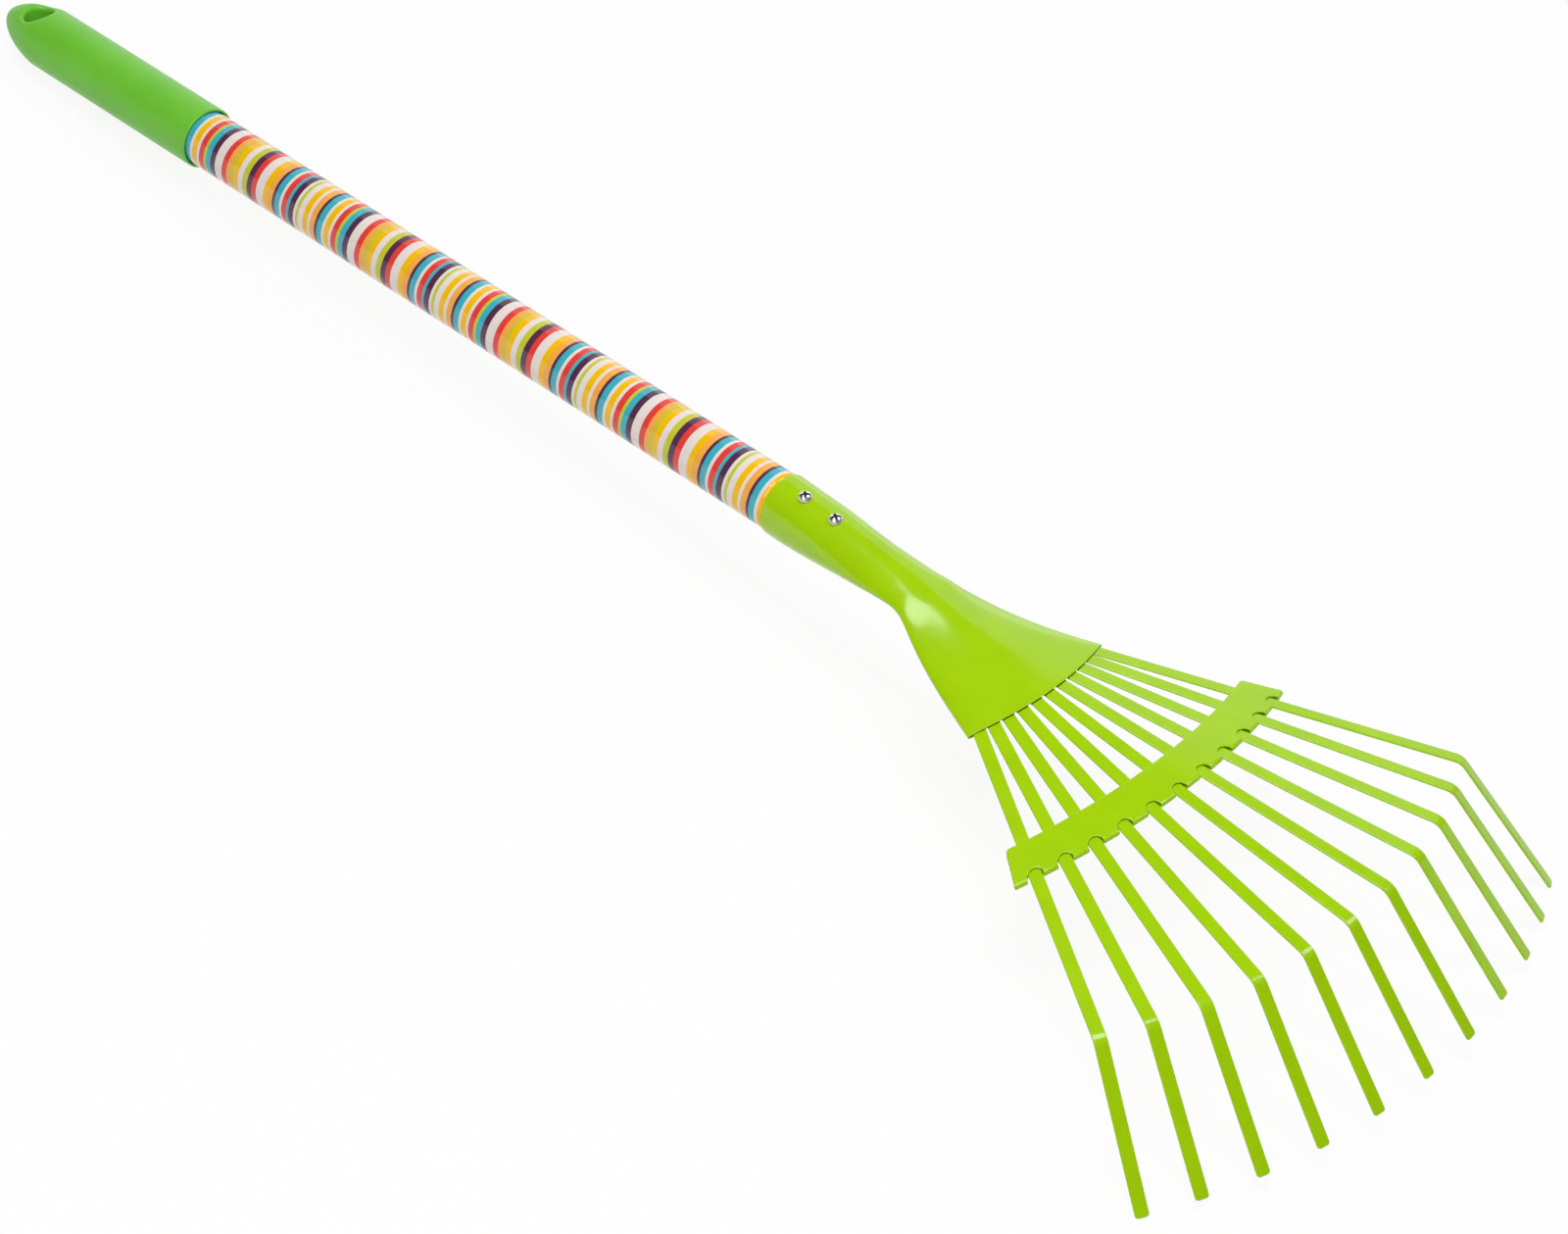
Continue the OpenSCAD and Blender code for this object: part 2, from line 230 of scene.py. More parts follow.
DOME_STEPS = 18
DOME = [GRIP_DOME * (i / DOME_STEPS) ** 2 for i in range(DOME_STEPS + 1)]
BEND_S, BEND_C = turned(BEND_ANGLE)
TIP_UNDER = Vector((BEND_AT + TIP_LEN * BEND_C - TINE_T / 2 * BEND_S,
                    -TIP_LEN * BEND_S - TINE_T / 2 * BEND_C))
TIP_OVER = TIP_UNDER + TINE_T * Vector((BEND_S, BEND_C))
TIP_LOW = fan_point(TIP_UNDER[0], TINE_W / 2 - TIP_CORNER, TIP_UNDER[1], EDGE_ANGLE)
REST_SLOPE = max((TIP_LOW.z + dome_r(x)) / (TIP_LOW.x - x) for x in DOME)
REST_TILT = math.degrees(math.atan(-REST_SLOPE))
REAR_END = min(nose_up((x, 0, dome_r(x)), REST_TILT).x for x in DOME)
FRONT_END = nose_up(fan_point(TIP_OVER[0], 0, TIP_OVER[1], 0), REST_TILT).x
REST_AT = Vector((-(REAR_END + FRONT_END) / 2, 0, -nose_up(TIP_LOW, REST_TILT).z))
TO_GROUND = (Matrix.Scale(MM, 4) @ Matrix.Translation(REST_AT)
             @ Matrix.Rotation(-math.radians(REST_TILT), 4, "Y"))


# Meshes

# Weight that large flat faces get over rounded edges in a piece's shading
FLAT_WEIGHT = 100


def bridge(one, other):
    """Faces between two closed rings of as many points, given by the points' numbers."""
    count = len(one)
    return [(one[i], other[i], other[(i + 1) % count], one[(i + 1) % count]) for i in range(count)]


def loft(rings, closed=False):
    """Points and faces of a skin through rings of equal counts. An open skin gets a lid at each end."""
    count = len(rings[0])
    points = [p for ring in rings for p in ring]
    numbers = [range(i * count, (i + 1) * count) for i in range(len(rings))]
    faces = []
    for one, other in zip(numbers, numbers[1:]):
        faces += bridge(one, other)
    if closed:
        faces += bridge(numbers[-1], numbers[0])
    else:
        faces += [tuple(numbers[0]), tuple(numbers[-1])]
    return points, faces


def add_piece(name, shape, finish, node, flats=False):
    """A piece of the rake from points and faces in the handle's frame, in millimetres."""
    points, faces = shape
    mesh = bpy.data.meshes.new(name)
    mesh.from_pydata([tuple(p) for p in points], [], faces)
    mesh.transform(TO_GROUND)
    form = bmesh.new()
    form.from_mesh(mesh)
    bmesh.ops.recalc_face_normals(form, faces=form.faces)
    form.to_mesh(mesh)
    form.free()
    mesh.shade_smooth()
    mesh.materials.append(finish)
    piece = bpy.data.objects.new(name, mesh)
    bpy.context.scene.collection.objects.link(piece)
    if flats:
        piece.modifiers.new("flat_faces", "WEIGHTED_NORMAL").weight = FLAT_WEIGHT
    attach(piece, "root")
    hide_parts(node)
    return piece


def tint(piece, name, colours):
    """Lays a colour on each corner of a piece's faces, as an attribute that its finish reads."""
    layer = piece.data.attributes.new(name, "FLOAT_COLOR", "CORNER")
    for corner, colour in zip(layer.data, colours):
        corner.color = colour


def round_ring(x, r, count):
    """A ring round the handle's axis."""
    ring = []
    for angle in steps(0, 360, count)[:-1]:
        s, c = turned(angle)
        ring.append(Vector((x, r * c, r * s)))
    return ring


# Materials

# Most of a noise lies between these levels
NOISE_LOW = 0.3
NOISE_HIGH = 0.7
# Places of the sockets on a Mix node that blends colours
MIX_ONE = 6
MIX_OTHER = 7
MIX_RESULT = 2


def srgb(red, green, blue):
    """A colour given on the 0 to 255 scale of a picture, as linear values with alpha."""
    linear = []
    for level in (red, green, blue):
        c = level / 255
        linear.append(c / 12.92 if c <= 0.04045 else ((c + 0.055) / 1.055) ** 2.4)
    return (*linear, 1)


class Finish:
    """A material on the Principled shader, with helpers for what varies over the surface."""

    def __init__(self, name):
        self.material = bpy.data.materials.new(name)
        self.material.use_nodes = True
        self.nodes = self.material.node_tree.nodes
        self.links = self.material.node_tree.links
        self.shader = self.nodes["Principled BSDF"]
        self.place = self.nodes.new("ShaderNodeTexCoord").outputs["Object"]

    def constants(self, **values):
        """Values that are the same all over, by socket name."""
        for key, value in values.items():
            self.shader.inputs[key].default_value = value

    def noise(self, size_mm, detail=3, stretch=None):
        """A noise whose blotches are about that many millimetres across."""
        node = self.nodes.new("ShaderNodeTexNoise")
        node.inputs["Scale"].default_value = 1 / (size_mm * MM)
        node.inputs["Detail"].default_value = detail
        place = self.place
        if stretch:
            mapping = self.nodes.new("ShaderNodeMapping")
            mapping.inputs["Scale"].default_value = stretch
            self.links.new(self.place, mapping.inputs["Vector"])
            place = mapping.outputs["Vector"]
        self.links.new(place, node.inputs["Vector"])
        return node.outputs["Fac"]

    def ramp(self, factor, low, high):
        """A colour between two, by a noise."""
        node = self.nodes.new("ShaderNodeValToRGB")
        node.color_ramp.elements[0].position = NOISE_LOW
        node.color_ramp.elements[0].color = low
        node.color_ramp.elements[1].position = NOISE_HIGH
        node.color_ramp.elements[1].color = high
        self.links.new(factor, node.inputs["Fac"])
        return node.outputs["Color"]

    def multiply(self, one, other):
        """One colour tinted by another."""
        node = self.nodes.new("ShaderNodeMix")
        node.data_type = "RGBA"
        node.blend_type = "MULTIPLY"
        node.inputs["Factor"].default_value = 1
        self.links.new(one, node.inputs[MIX_ONE])
        self.links.new(other, node.inputs[MIX_OTHER])
        return node.outputs[MIX_RESULT]

    def attribute(self, name):
        """The colour that tint laid on a piece under that name."""
        node = self.nodes.new("ShaderNodeAttribute")
        node.attribute_name = name
        return node.outputs["Color"]

    def colour(self, output):
        """The colour of the surface."""
        self.links.new(output, self.shader.inputs["Base Color"])

    def roughness(self, factor, low, high):
        """A roughness between two, by a noise."""
        node = self.nodes.new("ShaderNodeMapRange")
        node.inputs["From Min"].default_value = NOISE_LOW
        node.inputs["From Max"].default_value = NOISE_HIGH
        node.inputs["To Min"].default_value = low
        node.inputs["To Max"].default_value = high
        self.links.new(factor, node.inputs["Value"])
        self.links.new(node.outputs["Result"], self.shader.inputs["Roughness"])

    def bump(self, factor, depth_mm, strength):
        """Small hills and hollows in the shading, by a noise."""
        node = self.nodes.new("ShaderNodeBump")
        node.inputs["Distance"].default_value = depth_mm * MM
        node.inputs["Strength"].default_value = strength
        self.links.new(factor, node.inputs["Height"])
        self.links.new(node.outputs["Normal"], self.shader.inputs["Normal"])


def powder_coat(name, shade_layer=None):
    """Lime powder coat, half glossy, with the fine orange peel of baked powder.

    An attribute named by the last argument, if any, darkens it with painted shade.
    """
    finish = Finish(name)
    lime = finish.ramp(finish.noise(size_mm=14), low=srgb(160, 206, 0), high=srgb(166, 212, 1))
    # Painted shade from the named attribute multiplies the lime
    finish.colour(finish.multiply(lime, finish.attribute(shade_layer)) if shade_layer else lime)
    finish.roughness(finish.noise(size_mm=3), low=0.14, high=0.19)
    finish.bump(finish.noise(size_mm=0.9, detail=2), depth_mm=0.02, strength=0.08)
    finish.constants(IOR=1.5)
    return finish.material


def moulded_plastic():
    """Satin green plastic, with the fine skin of a mould."""
    finish = Finish("green_plastic")
    finish.colour(finish.ramp(finish.noise(size_mm=18), low=srgb(108, 195, 47), high=srgb(114, 201, 53)))
    finish.roughness(finish.noise(size_mm=2), low=0.36, high=0.44)
    finish.bump(finish.noise(size_mm=0.5, detail=2), depth_mm=0.02, strength=0.2)
    finish.constants(IOR=1.47)
    return finish.material


def printed_film():
    """Glossy printed film shrunk on the rod, a little uneven."""
    finish = Finish("striped_film")
    grain = finish.ramp(finish.noise(size_mm=0.6), low=srgb(246, 246, 246), high=srgb(255, 255, 255))
    finish.colour(finish.multiply(finish.attribute("stripe"), grain))
    finish.roughness(finish.noise(size_mm=6), low=0.04, high=0.08)
    finish.bump(finish.noise(size_mm=7, detail=1), depth_mm=0.05, strength=0.15)
    finish.constants(IOR=1.5)
    return finish.material


def bright_steel():
    """Zinc-plated steel with fine turning marks, and painted shade in the recesses."""
    finish = Finish("bright_steel")
    zinc = finish.ramp(finish.noise(size_mm=0.8), low=srgb(226, 225, 222), high=srgb(240, 239, 236))
    # The attribute darkens the recesses with painted shade
    finish.colour(finish.multiply(zinc, finish.attribute("painted_recess_shade")))
    finish.roughness(finish.noise(size_mm=0.4), low=0.28, high=0.38)
    finish.bump(finish.noise(size_mm=0.3), depth_mm=0.01, strength=0.2)
    finish.constants(Metallic=1)
    return finish.material


def bare_wood():
    """Pale turned wood, with its grain along the handle."""
    finish = Finish("pale_wood")
    grain = finish.noise(size_mm=2, stretch=(0.06, 1, 1))
    finish.colour(finish.ramp(grain, low=srgb(196, 160, 112), high=srgb(222, 191, 146)))
    finish.roughness(finish.noise(size_mm=3), low=0.55, high=0.7)
    finish.bump(grain, depth_mm=0.1, strength=0.3)
    return finish.material


# The grip

# Radius round the hanging hole's rim, and where the grip's rounded end is joined to its barrel
HANG_RIM = 3.5
BARREL_FROM = 46
# The barrel's start as seen from the hole's centre: how far ahead, and the angle to its corners
BARREL_AHEAD = BARREL_FROM - HANG_SET
BARREL_CORNER = math.degrees(math.atan2(GRIP_R, BARREL_AHEAD))
# The bore opens at the mouth by this much, over this length
MOUTH_FLARE = 0.4
FLARE_RUN = 2.5
# Steps between the rays from the hole to half of the barrel's ring, and to the rest of the outline
HALF_RING = 60
END_RAYS = 160
# Steps on each ray round the hole's rim and on to the outline
RIM_STEPS = 12
OUT_STEPS = 28
# Steps along the barrel, round the lip, along the opened mouth and along the bore
BARREL_STEPS = 12
LIP_STEPS = 8
MOUTH_STEPS = 6
BORE_STEPS = 8
# How often the search for the outline halves its range, and how near the middle plane the outline lies
HALVINGS = 50
ON_OUTLINE = 0.01


def ray_angles():
    """Angles of the rays from the hanging hole: to the barrel's ring ahead, then round the grip's end."""
    ring = [math.degrees(math.atan2(GRIP_R * turned(t)[0], BARREL_AHEAD)) for t in steps(-90, 90, HALF_RING)]
    return ring + steps(BARREL_CORNER, 360 - BARREL_CORNER, END_RAYS)[1:-1]


def ray_reach(angle):
    """Distance from the hole's centre to the grip's outline, or to the barrel."""
    s, c = turned(angle)
    if abs(angle) <= BARREL_CORNER:
        return BARREL_AHEAD / c
    near = HANG_D / 2
    far = 2 * BARREL_FROM
    for _ in range(HALVINGS):
        half = (near + far) / 2
        x = HANG_SET + half * c
        if x > 0 and abs(half * s) < dome_r(x):
            near = half
        else:
            far = half
    return near


def ray_points(angle, side):
    """Points of the grip's upper or lower half along a ray: round the hole's rim, then out to the end."""

    def surface(rho, drop):
        """A point at a distance from the hole's centre, dropped below the round surface."""
        s, c = turned(angle)
        x = HANG_SET + rho * c
        y = rho * s
        z = math.sqrt(max(dome_r(x) ** 2 - y * y, 0)) - drop
        return Vector((x, y, side * z))

    hole_r = HANG_D / 2
    far = ray_reach(angle)
    points = []
    for t in steps(0, 90, RIM_STEPS)[:-1]:
        s, c = turned(t)
        points.append(surface(hole_r + HANG_RIM * (1 - c), HANG_RIM * (1 - s)))
    for t in steps(0, 90, OUT_STEPS):
        points.append(surface(mix(hole_r + HANG_RIM, far, turned(t)[0]), 0))
    return points


def barrel_profile():
    """Distances along the grip and radii: along the barrel, round the lip and back along the bore."""
    bore_r = FILM_R + ROD_PLAY
    profile = [(x, GRIP_R) for x in steps(BARREL_FROM, GRIP_LEN - LIP_R, BARREL_STEPS)[1:-1]]
    for t in steps(0, 90, LIP_STEPS):
        s, c = turned(t)
        profile.append((GRIP_LEN - LIP_R * (1 - s), GRIP_R - LIP_R * (1 - c)))
    for t in steps(0, 1, MOUTH_STEPS):
        profile.append((GRIP_LEN - FLARE_RUN * t, bore_r + MOUTH_FLARE * (1 - t) ** 2))
    return profile + [(x, bore_r) for x in steps(GRIP_LEN - FLARE_RUN, ROD_FROM, BORE_STEPS)[1:]]


def grip_shape():
    """A revolved grip whose rounded end is laid out in rays from the hanging hole."""
    angles = ray_angles()
    rays = {side: [ray_points(angle, side) for angle in angles] for side in (1, -1)}
    count = len(angles)
    outer = RIM_STEPS + OUT_STEPS
    points = []
    faces = []
    index = {}

    def vertex(side, i, j):
        """The number of a point, shared by top and bottom along the outline."""
        i = i % count
        point = rays[side][i][j]
        on_outline = j == outer and abs(point.z) < ON_OUTLINE
        key = (0 if on_outline else side, i, j)
        if key not in index:
            index[key] = len(points)
            points.append(point)
        return index[key]

    for side in (1, -1):
        for i in range(count):
            for j in range(outer):
                faces.append((vertex(side, i, j), vertex(side, i, j + 1),
                              vertex(side, i + 1, j + 1), vertex(side, i + 1, j)))
    for i in range(count):
        faces.append((vertex(1, i, 0), vertex(1, i + 1, 0), vertex(-1, i + 1, 0), vertex(-1, i, 0)))

    # The barrel goes on from the cut, round the lip and back along the bore
    top = [vertex(1, i, outer) for i in range(HALF_RING + 1)]
    under = [vertex(-1, i, outer) for i in range(HALF_RING - 1, 0, -1)]
    last = top + under
    directions = [Vector((0, points[v].y, points[v].z)).normalized() for v in last]
    for x, r in barrel_profile():
        here = range(len(points), len(points) + len(directions))
        points += [Vector((x, 0, 0)) + r * d for d in directions]
        faces += bridge(last, here)
        last = here
    faces.append(tuple(last))
    return points, faces


# The striped film

# Stripes are counted in this unit, and one repeat begins this far inside the grip
STRIPE_UNIT = 1.32
STRIPE_TUCK = 0.2
STRIPES_FROM = GRIP_LEN - STRIPE_TUCK
FILM_AROUND = 96
PAINTS = {
    "teal": srgb(62, 181, 197),
    "white": srgb(240, 228, 221),
    "yellow": srgb(254, 196, 0),
    "red": srgb(235, 66, 60),
    "lime": srgb(203, 205, 54),
    "purple": srgb(88, 46, 77),
    "orange": srgb(253, 176, 74),
}
STRIPES = [
    ("teal", 2), ("white", 1), ("yellow", 2), ("white", 1), ("red", 2), ("lime", 1), ("teal", 2),
    ("purple", 2), ("white", 3), ("red", 2), ("orange", 2), ("lime", 1), ("yellow", 2), ("white", 2),
    ("lime", 2), ("purple", 2), ("red", 2), ("white", 3), ("yellow", 2), ("orange", 2), ("purple", 1),
    ("teal", 2), ("white", 1), ("red", 2), ("teal", 1), ("purple", 2), ("white", 1), ("lime", 1),
    ("white", 2), ("yellow", 2), ("white", 1), ("orange", 2), ("purple", 1)]


def stripe_edges():
    """Where each stripe on the film begins, with its paint, from the rod's end in the grip to the socket."""
    repeat = STRIPE_UNIT * sum(width for _, width in STRIPES)
    x = STRIPES_FROM - repeat * math.ceil((STRIPES_FROM - ROD_FROM) / repeat)
    edges = []
    while x < ROD_TO:
        for paint, width in STRIPES:
            after = x + STRIPE_UNIT * width
            if after > ROD_FROM and x < ROD_TO:
                edges.append((max(x, ROD_FROM), paint))
            x = after
    return edges


def add_film(finish):
    """The film as a thin pipe, with one band of faces to a stripe."""
    edges = stripe_edges()
    rings = [round_ring(x, FILM_R, FILM_AROUND) for x, _ in edges]
    rings.append(round_ring(ROD_TO, FILM_R, FILM_AROUND))
    rings.append(round_ring(ROD_TO, ROD_D / 2, FILM_AROUND))
    rings.append(round_ring(ROD_FROM, ROD_D / 2, FILM_AROUND))
    shape = loft(rings, closed=True)
    film = add_piece("printed_sleeve_film", shape, finish, "printed_sleeve")
    # The film's two ends and its inside are white
    paints = [paint for _, paint in edges] + ["white"] * 3
    colours = []
    for face in film.data.polygons:
        colours += [PAINTS[paints[face.index // FILM_AROUND]]] * face.loop_total
    tint(film, "stripe", colours)


# The head socket

# The lip thins to this sheet at the mouth, over this length
LIP_T = 0.4
LIP_RUN = 3
MOUTH_H = TINE_T / 2 + MOUTH_PLAY + SOCKET_WALL
MOUTH_MID = fan_point(MOUTH_AT_MIDDLE, 0, 0, 0)
MOUTH_EDGE = fan_point(MOUTH_AT_EDGE, TINE_W / 2 + MOUTH_SIDE, 0, EDGE_ANGLE)
SOCKET_LEN = MOUTH_MID.x - RIM_X
PLATE_SLOPE = math.tan(math.radians(FAN_LIFT - FAN_DROOP))
PLATE_FROM = SOCKET_LEN - PLATE_RUN
# Powers of the sine squared that make a section round, or a lens with thin edges
ROUND_POWER = 0.5
LENS_POWER = 1
# Points round the socket, rings along it and steps round the sheet's edge
SOCKET_AROUND = 144
SOCKET_RINGS = 110
SOCKET_EDGE_STEPS = 6


def plate_z(x):
    """Height of the mouth's middle plane, which lies along the tines."""
    return MOUTH_MID.z + PLATE_SLOPE * (x - SOCKET_LEN)


def section_z(x, side, slope, bulge):
    """Height of the socket's top or bottom at a distance from its rim."""
    if x > PLATE_FROM:
        return plate_z(x) + side * MOUTH_H
    t = x / PLATE_FROM
    end = plate_z(PLATE_FROM) + side * MOUTH_H
    rise = mix(side * SOCKET_R, end, t * t * (3 - 2 * t))
    rise += PLATE_FROM * (slope * t * (1 - t) ** 2 - PLATE_SLOPE * t * t * (1 - t))
    return rise + bulge * swell(t)


def top_z(x):
    """Height of the socket's top."""
    return section_z(x, 1, TOP_SLOPE, TOP_SWELL)


def floor_z(x):
    """Height of the socket's bottom."""
    return section_z(x, -1, FLOOR_SLOPE, FLOOR_SWELL)


def flare(x, begin):
    """Share of the flare at a distance from the rim. It begins over a length before and after the neck."""
    d = x - FLARE_FROM
    if d < -begin:
        gone = 0
    elif d > begin:
        gone = d
    else:
        gone = (d + begin) ** 2 / (4 * begin)
    return gone / (SOCKET_LEN - FLARE_FROM)


def half_width(x):
    """Half the socket's width."""
    return SOCKET_R + (MOUTH_EDGE.y - SOCKET_R) * flare(x, FLARE_EASE) ** FLARE_POWER


def edge_z(x):
    """Height of the socket's two side edges."""
    return mix((top_z(x) + floor_z(x)) / 2, MOUTH_EDGE.z, ease(flare(x, EDGE_EASE) ** EDGE_POWER))


def bell(x):
    """Power of the section on top, from round at the rim to a lens at the mouth."""
    if x < BELL_AT:
        return mix(ROUND_POWER, BELL_PEAK, ease((x - BELL_FROM) / (BELL_AT - BELL_FROM)))
    return mix(BELL_PEAK, LENS_POWER, ease((x - BELL_AT) / (SOCKET_LEN - BELL_AT)))


def flank(x):
    """How far the flanks on top are flattened."""
    begun = ease((x - FLANK_FROM) / (FLANK_AT - FLANK_FROM))
    gone = ease((x - FLANK_AT) / (FLANK_TO - FLANK_AT))
    return begun * (1 - gone)


def ridge(t):
    """Profile of the flattened flanks, soft where they meet."""
    return (t + RIDGE_SOFT) ** (FLANK_POWER / 2)


def skin_point(x, angle, inset):
    """A point of the socket's skin at an angle round it, pulled in by an inset."""
    s, c = turned(angle)
    y = (half_width(x) - inset) * c
    z = edge_z(x)
    h = max(MOUTH_H * ease((x - EDGE_FROM) / EDGE_RUN) - inset, 0)
    rim = h * max(1 - abs(c) ** EDGE_ROUND, 0) ** (1 / EDGE_ROUND)
    bow = (MOUTH_MID.x - MOUTH_EDGE.x) * (x / SOCKET_LEN * y / MOUTH_EDGE.y) ** 2
    if s < 0:
        side = -1
        far = z - h - floor_z(x) - inset
        arch = (s * s) ** mix(ROUND_POWER, LENS_POWER, ease((x - FLOOR_FROM) / FLOOR_RUN))
        bow += MOUTH_UNDER * ease((x - PLATE_FROM) / PLATE_RUN) * s * s
    else:
        side = 1
        far = top_z(x) - inset - z - h
        tent = (ridge(1) - ridge(c * c)) / (ridge(1) - ridge(0))
        arch = mix((s * s) ** bell(x), tent, flank(x))
    return Vector((RIM_X + x - bow, y, z + side * (rim + far * arch)))


def socket_shape():
    """The socket's sheet: outside, round the mouth's edge, back along the inside and round the rim."""

    def wall(x):
        """Thickness of the sheet, less at the lip."""
        return mix(SOCKET_WALL, LIP_T, ease((x - SOCKET_LEN + LIP_RUN) / LIP_RUN))

    lip = SOCKET_LEN - LIP_T / 2
    rim = SOCKET_WALL / 2
    stations = [(x, 0) for x in steps(rim, lip, SOCKET_RINGS)]
    for t in steps(0, 180, SOCKET_EDGE_STEPS)[1:-1]:
        s, c = turned(t)
        stations.append((lip + LIP_T / 2 * s, wall(lip) * (1 - c) / 2))
    stations += [(x, wall(x)) for x in steps(lip, rim, SOCKET_RINGS)]
    for t in steps(180, 0, SOCKET_EDGE_STEPS)[1:-1]:
        s, c = turned(t)
        stations.append((rim * (1 - s), SOCKET_WALL * (1 - c) / 2))
    angles = steps(0, 360, SOCKET_AROUND)[:-1]
    rings = [[skin_point(x, angle, inset) for angle in angles] for x, inset in stations]
    return loft(rings, closed=True)


# The two screws

# Radius at a screw's point, and width of the bevels on its head's edges
SCREW_POINT_R = 0.15
SCREW_SOFT = 0.15
# The cap's rings run from this share of its angle in to this angle, in so many steps
CAP_FROM = 0.97
CAP_TO = 0.2
CAP_STEPS = 72
SCREW_AROUND = 168
# The recess's walls lean over this width, and the recess gets this painted shade
RECESS_WALL = 0.16
RECESS_SHADE = (0.12, 0.1, 0.08, 1)
# A small step along the skin and round it, to find which way it faces
SKIN_STEP = 0.5


def recess(x, y):
    """Depth of the cross recess at a point of the head."""
    s, c = turned(RECESS_TURN)
    u = abs(x * c + y * s)
    v = abs(y * c - x * s)
    past_one = max(u - RECESS_SPAN / 2, v - RECESS_W / 2)
    past_other = max(v - RECESS_SPAN / 2, u - RECESS_W / 2)
    return RECESS_DEPTH * ease(-min(past_one, past_other) / RECESS_WALL)


def screw_profile():
    """Radii and heights of a pan-head screw, from its point to the middle of its cap."""
    head_r = SCREW_HEAD_D / 2
    cap_h = SCREW_HEAD_H - SCREW_EDGE_H
    cap_r = (head_r ** 2 + cap_h ** 2) / (2 * cap_h)
    cap_angle = math.degrees(math.asin(head_r / cap_r))
    shank = [(SCREW_POINT_R, -SCREW_LEN), (SCREW_D / 2, -SCREW_LEN + SCREW_D), (SCREW_D / 2, 0)]
    edge = [(head_r - SCREW_SOFT, 0), (head_r, SCREW_SOFT), (head_r, SCREW_EDGE_H - SCREW_SOFT)]
    cap = []
    for angle in steps(cap_angle * CAP_FROM, CAP_TO, CAP_STEPS):
        s, c = turned(angle)
        cap.append((cap_r * s, SCREW_HEAD_H - cap_r * (1 - c)))
    return shank + edge + cap


def screw_seat(x):
    """The place of a screw on the socket's skin, and the turn that sets it square there."""
    turn = 90 + SCREW_TURN
    along = skin_point(x + SKIN_STEP, turn, 0) - skin_point(x - SKIN_STEP, turn, 0)
    across = skin_point(x, turn + SKIN_STEP, 0) - skin_point(x, turn - SKIN_STEP, 0)
    out = across.cross(along).normalized()
    return skin_point(x, turn, 0), out.to_track_quat("Z", "Y")


def screw_shape():
    """Both screws on the socket's skin, and which of their points are in a recess."""
    rings = []
    sunk = []
    for r, z in screw_profile():
        ring = []
        for angle in steps(0, 360, SCREW_AROUND)[:-1]:
            s, c = turned(angle)
            drop = recess(r * c, r * s) if z > SCREW_EDGE_H else 0
            ring.append(Vector((r * c, r * s, z - drop)))
            sunk.append(drop > RECESS_DEPTH / 2)
        rings.append(ring)
    own_points, own_faces = loft(rings)
    points = []
    faces = []
    for x in (SCREW_SET, SCREW_SET + SCREW_GAP):
        seat, turn = screw_seat(x)
        start = len(points)
        points += [seat + turn @ p for p in own_points]
        faces += [tuple(start + v for v in face) for face in own_faces]
    return (points, faces), sunk + sunk


def add_screws(finish):
    """Both screws, with painted shade in the recesses of their heads."""
    shape, sunk = screw_shape()
    screws = add_piece("socket_screw_pair", shape, finish, "socket_screws", flats=True)
    # Points sunk in a head's recess get painted shade, the rest keep the zinc's colour
    shades = [RECESS_SHADE if sunk[corner.vertex_index] else WHITE for corner in screws.data.loops]
    tint(screws, "painted_recess_shade", shades)


# The tines

# Radius of the strip's long edges, and the least of it at the end, which is rounded over this length
TINE_EDGE = 0.4
TINE_EDGE_END = 0.12
END_ROUND = 0.35
# The painted shade on a tine's tail under the socket's lip ends this far inside the mouth, and fades over
# this length
SHADE_INSIDE_LIP = 0.1
SHADE_FADE = 0.1
# Near-black painted shade for the tine's tail in the slit under the socket's lip
PAINTED_MOUTH_SHADE = (0.03, 0.03, 0.03, 1)
# The first rings carry the painted shade, and those where it ends are slanted along the socket's lip
SHADED_RINGS = 2
LIP_RINGS = (1, 2)
# Steps round each of the strip's four edges, along its line, round the bend and down the leg
SECTION_STEPS = 4
LINE_STEPS = 12
BEND_STEPS = 16
LEG_STEPS = 5
# The rounded end's rings begin at this angle round its corners and take so many steps
CORNER_FROM = 10
CORNER_STEPS = 10
# How often the place under the lip is corrected
LIP_PASSES = 6
BEND_SET = BEND_R * math.tan(math.radians(BEND_ANGLE / 2))
BEND_FROM = BEND_AT - BEND_SET
LEG = TIP_LEN - BEND_SET


def strip_section(half_w, half_t, edge):
    """A rounded rectangle: across the strip and square to it."""
    outline = []
    for corner, (v, n) in enumerate(((1, 1), (-1, 1), (-1, -1), (1, -1))):
        for t in steps(0, 90, SECTION_STEPS):
            s, c = turned(90 * corner + t)
            outline.append((v * (half_w - edge) + edge * c, n * (half_t - edge) + edge * s))
    return outline


def lip_at(v, angle):
    """Where the line of a tine, or one beside it, passes under the socket's upper lip."""
    s = spread(MOUTH_AT_MIDDLE, MOUTH_AT_EDGE, angle)
    for _ in range(LIP_PASSES):
        here = fan_point(s, v, 0, angle)
        lip_x = MOUTH_MID.x - (MOUTH_MID.x - MOUTH_EDGE.x) * (here.y / MOUTH_EDGE.y) ** 2
        s += lip_x - here.x
    return s


